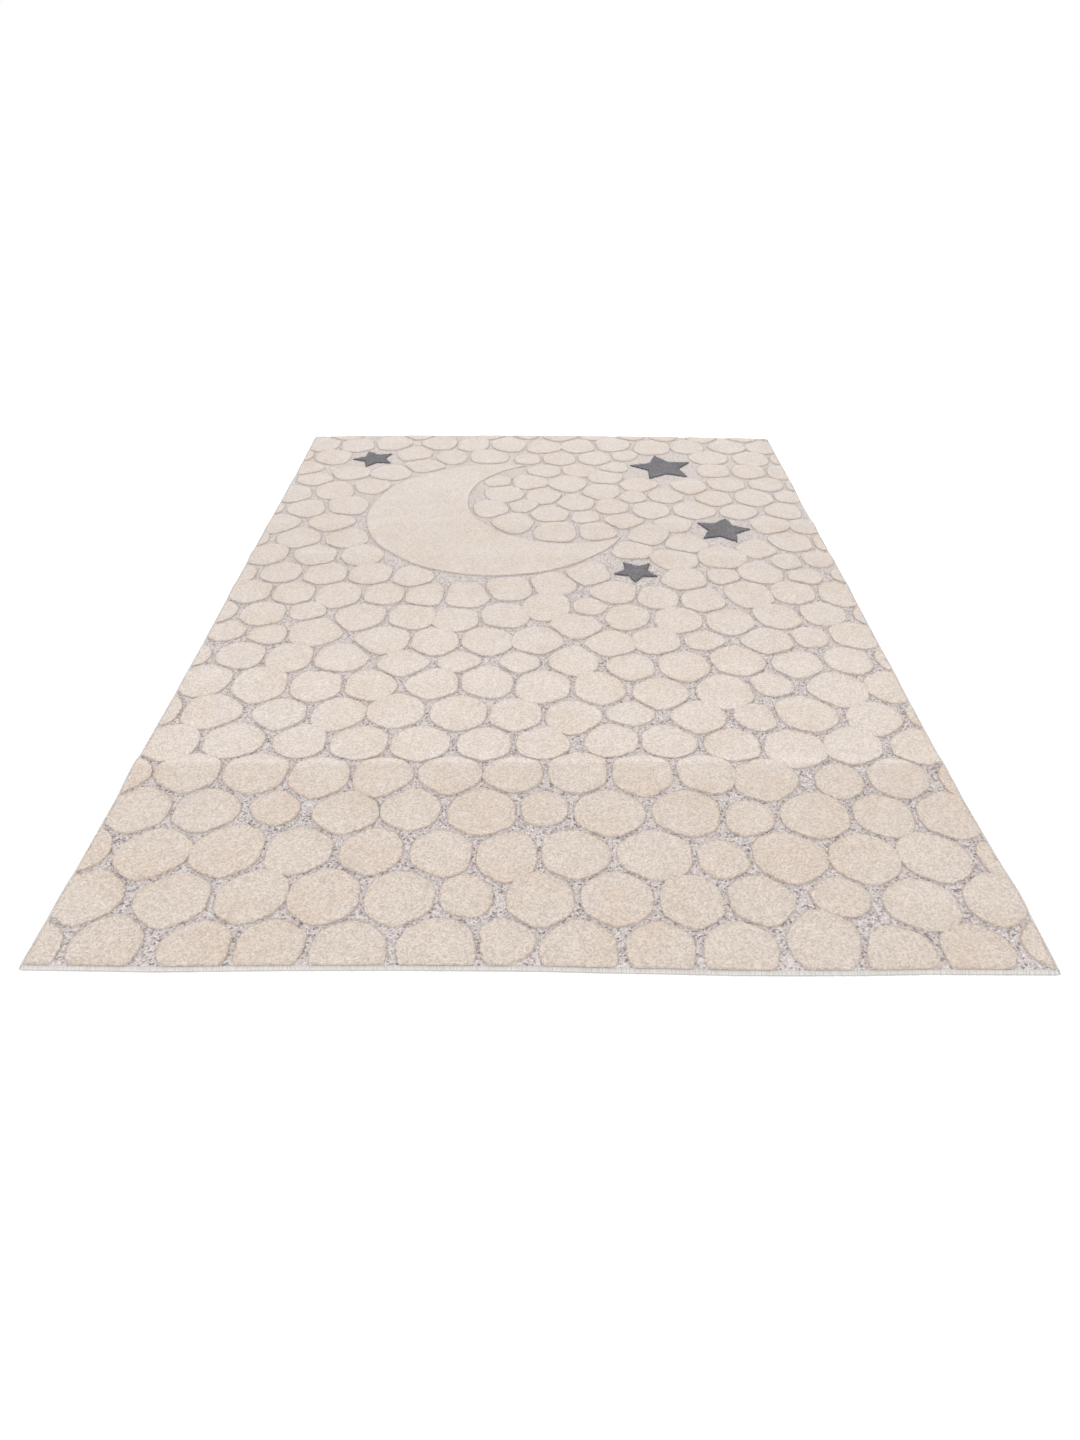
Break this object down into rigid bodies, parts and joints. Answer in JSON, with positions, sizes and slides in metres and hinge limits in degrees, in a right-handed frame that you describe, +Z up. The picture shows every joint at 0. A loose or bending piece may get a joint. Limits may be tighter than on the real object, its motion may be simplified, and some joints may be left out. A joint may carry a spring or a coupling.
{
  "type": "kids rug",
  "caption": "Rectangular kids rug with rounded pebbles, a crescent moon and stars in high pile over a low ground, and overcast yarn edges.",
  "frame": {"origin": "centre of the rug's bounding box, on the floor", "axes": "+X across the rug to the right, +Y along the rug from the front edge to the back edge, +Z up"},
  "size_m": [1.6001, 2.3, 0.0192],
  "materials": {
    "cream_pile": "dense soft cut pile",
    "overcast_yarn": "close overcast stitches of matt yarn"
  },
  "bodies": {
    "root": {"rug_body": "cream_pile", "binding_left": "overcast_yarn", "binding_right": "overcast_yarn", "binding_front": "overcast_yarn", "binding_back": "overcast_yarn"}
  },
  "joints": []
}
